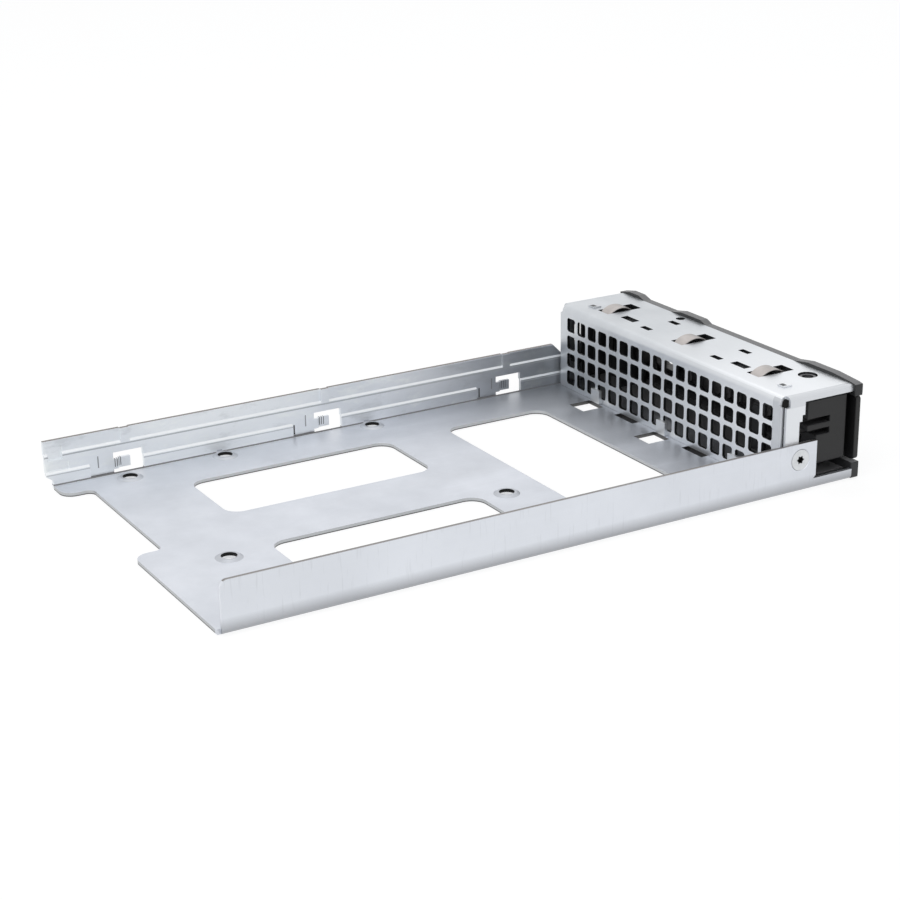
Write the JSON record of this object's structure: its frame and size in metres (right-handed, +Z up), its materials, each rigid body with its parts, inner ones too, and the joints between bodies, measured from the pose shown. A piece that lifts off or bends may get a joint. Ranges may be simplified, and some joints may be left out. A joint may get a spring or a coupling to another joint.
{
  "type": "hot swap drive caddy",
  "caption": "Open folded steel drive tray with a perforated front cage, spring contact fingers, and a moulded front holding a hinged ejector lever and a release button.",
  "frame": {"origin": "under the middle of the whole caddy, at the level of the tray floor's underside", "axes": "+X along the caddy from its open rear end to the front with the lever, +Y from the side where the lever is hinged to the side of the release button, +Z up out of the tray"},
  "size_m": [0.1816, 0.1054, 0.0264],
  "materials": {
    "zinc_steel": "satin galvanised sheet",
    "cage_steel": "satin galvanised sheet",
    "contact_alloy": "bare spring strip",
    "screw_steel": "zinc plated",
    "grey_plastic": "fine moulded grain",
    "black_plastic": "fine moulded grain",
    "pin_steel": "plain",
    "spring_steel": "drawn wire"
  },
  "bodies": {
    "caddy": {"tray": "zinc_steel", "front_cage": "cage_steel", "emi_finger_1": "contact_alloy", "emi_finger_2": "contact_alloy", "emi_finger_3": "contact_alloy", "side_screw_near": "screw_steel", "side_screw_far": "screw_steel", "bezel_frame": "grey_plastic", "lever_pivot_pin": "pin_steel", "lever_spring": "spring_steel", "button_spring": "spring_steel"},
    "lever": {"ejector_lever": "black_plastic"},
    "button": {"release_button": "black_plastic"}
  },
  "joints": [
    {"name": "lever_swing", "type": "hinge", "parent": "caddy", "child": "lever", "pos_m": [0.0831, -0.03935, 0.01265], "axis": [0, 0, -1], "range_deg": [0, 55]},
    {"name": "button_press", "type": "slide", "parent": "caddy", "child": "button", "axis": [-1, 0, 0], "range_m": [0, 0.002], "stiffness_N_per_m": 400, "springref_m": -0.001, "deforming": ["button_spring"]}
  ]
}
